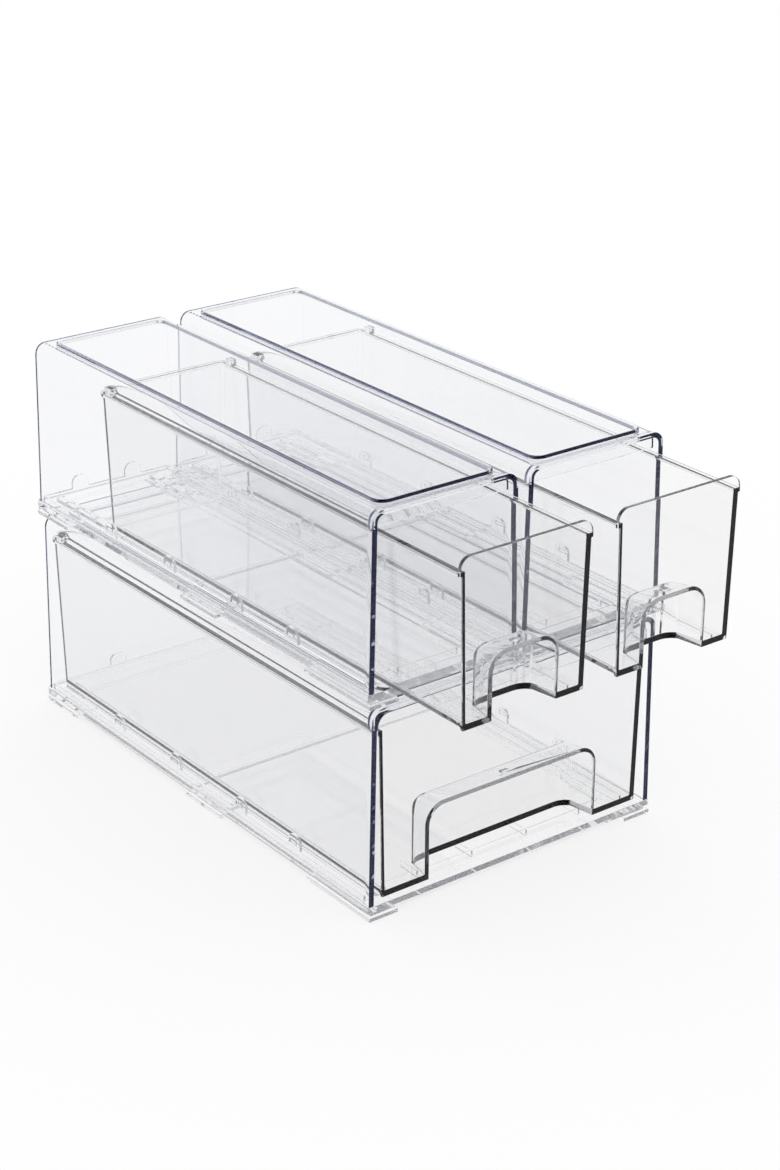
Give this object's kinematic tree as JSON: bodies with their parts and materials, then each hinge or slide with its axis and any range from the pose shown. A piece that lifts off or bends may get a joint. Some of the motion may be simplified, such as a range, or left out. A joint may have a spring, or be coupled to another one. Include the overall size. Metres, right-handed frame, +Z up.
{
  "type": "fridge drawer organizer",
  "caption": "Clear stackable fridge drawers: a wide unit below and narrow units side by side on top, each a shell on a clip-on base with a pull-out drawer that has an arched finger pull.",
  "frame": {"origin": "centre of the whole set's footprint, upper drawers open as stored, on the surface that the feet rest on", "axes": "+Z up, -Y the front that the drawers pull out of, +X to the right seen from the front"},
  "size_m": [0.2108, 0.4182, 0.2468],
  "materials": {
    "clear_plastic": "polished, crystal clear"
  },
  "bodies": {
    "wide_unit": {"wide_shell": "clear_plastic", "wide_base": "clear_plastic"},
    "wide_tray": {"wide_drawer": "clear_plastic"},
    "left_unit": {"left_shell": "clear_plastic", "left_base": "clear_plastic"},
    "left_tray": {"left_drawer": "clear_plastic"},
    "right_unit": {"right_shell": "clear_plastic", "right_base": "clear_plastic"},
    "right_tray": {"right_drawer": "clear_plastic"}
  },
  "joints": [
    {"name": "wide_drawer_slide", "type": "slide", "parent": "wide_unit", "child": "wide_tray", "axis": [0, -1, 0], "range_m": [0, 0.3243]},
    {"name": "left_unit_lift", "type": "slide", "parent": "wide_unit", "child": "left_unit", "axis": [0, 0, 1], "range_m": [0, 0.06]},
    {"name": "left_drawer_slide", "type": "slide", "parent": "left_unit", "child": "left_tray", "axis": [0, -1, 0], "range_m": [-0.068, 0.2563]},
    {"name": "right_unit_lift", "type": "slide", "parent": "wide_unit", "child": "right_unit", "axis": [0, 0, 1], "range_m": [0, 0.06]},
    {"name": "right_drawer_slide", "type": "slide", "parent": "right_unit", "child": "right_tray", "axis": [0, -1, 0], "range_m": [-0.068, 0.2563]}
  ]
}
